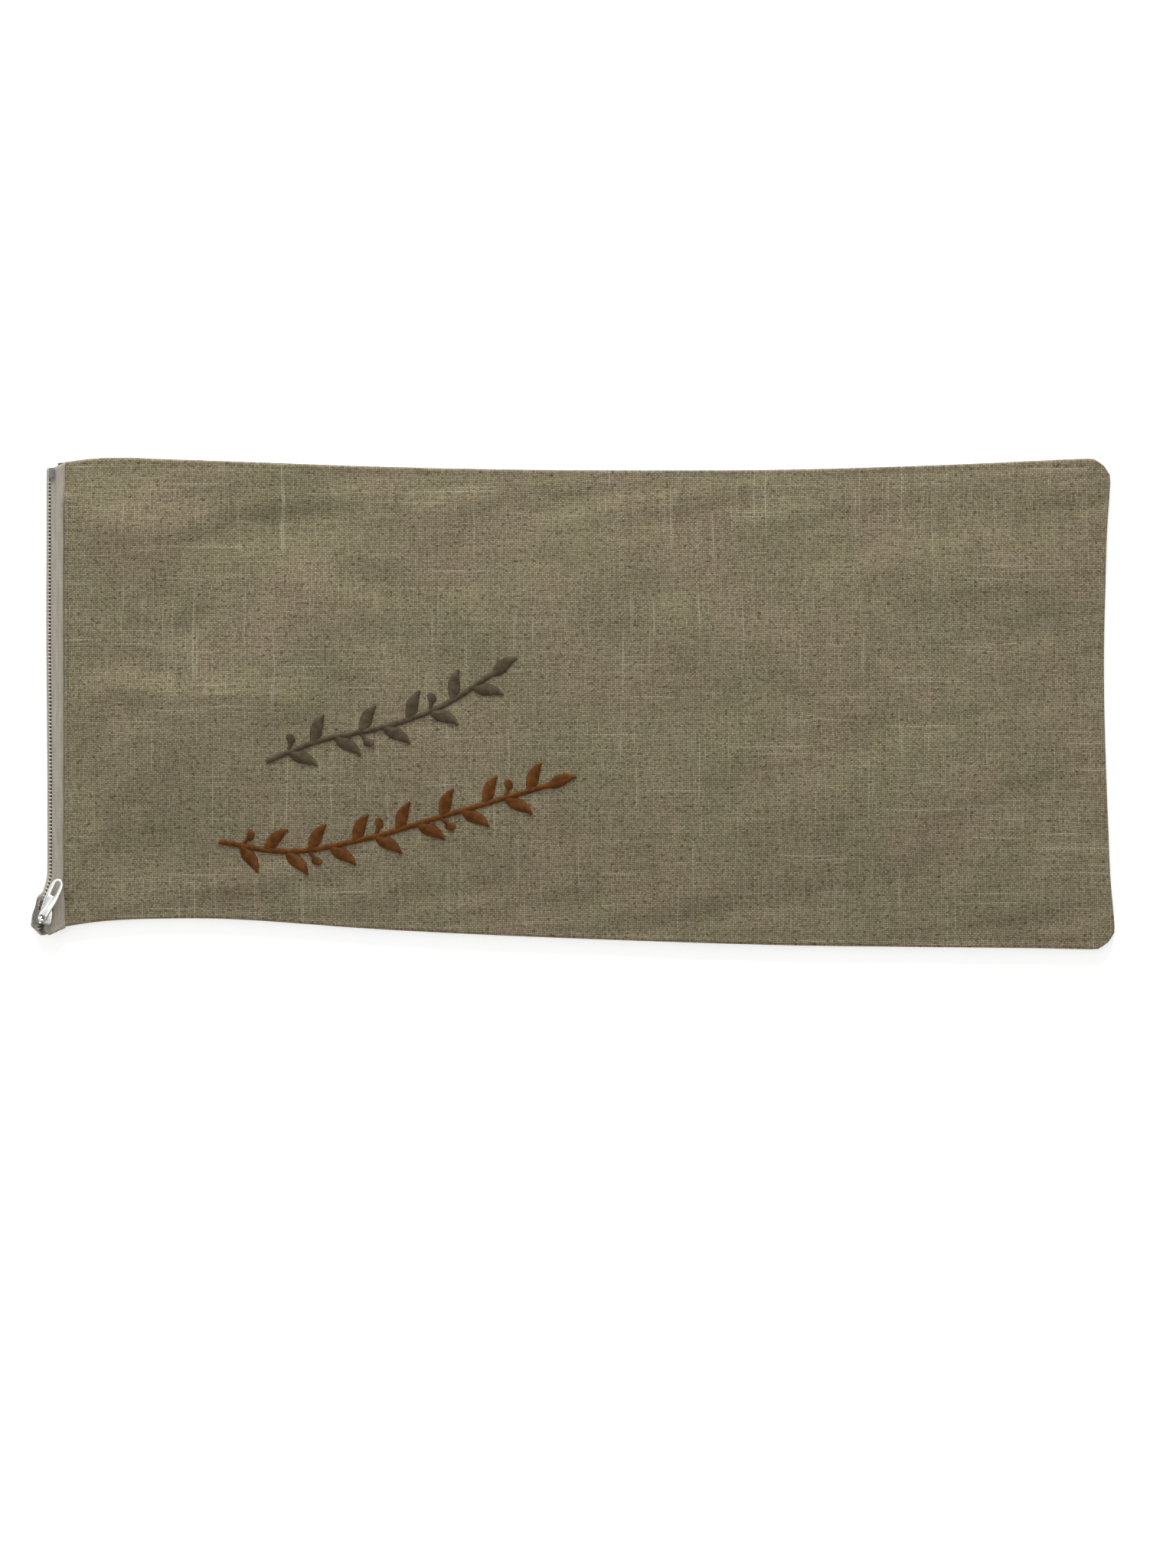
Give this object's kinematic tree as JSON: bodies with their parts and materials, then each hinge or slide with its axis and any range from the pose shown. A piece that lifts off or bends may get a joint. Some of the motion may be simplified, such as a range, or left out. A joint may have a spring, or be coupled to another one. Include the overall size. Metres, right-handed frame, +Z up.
{
  "type": "shofar bag",
  "caption": "Flat linen pouch for a shofar, closed by a zip along one short end, with two embroidered sprigs on its front.",
  "frame": {"origin": "on the surface the bag lies on, under the middle of its bounding box", "axes": "+X along the bag, away from the zip; +Y across it, away from the zip's slider; +Z up, out of the embroidered front"},
  "size_m": [0.472, 0.2142, 0.0098],
  "materials": {
    "linen": "woven, matt",
    "zip_tape": "fine woven, matt",
    "zip_teeth": "satin",
    "nickel": "polished nickel",
    "dark_metal": "satin",
    "taupe_thread": "satin stitch, soft sheen",
    "rust_thread": "satin stitch, soft sheen"
  },
  "bodies": {
    "bag": {"front_panel": "linen", "back_panel": "linen", "zipper_tape_front": "zip_tape", "zipper_tape_back": "zip_tape", "zipper_coil_front": "zip_teeth", "zipper_coil_back": "zip_teeth", "bottom_stop": "dark_metal", "slider": "nickel", "embroidery_taupe": "taupe_thread", "embroidery_rust": "rust_thread"},
    "pull": {"pull_tab": "nickel"}
  },
  "joints": [
    {"name": "pull_swing", "type": "hinge", "parent": "bag", "child": "pull", "pos_m": [-0.2313, -0.09413, 0.00753], "axis": [0.8792, -0.4288, 0.2079], "range_deg": [0, 170]}
  ]
}
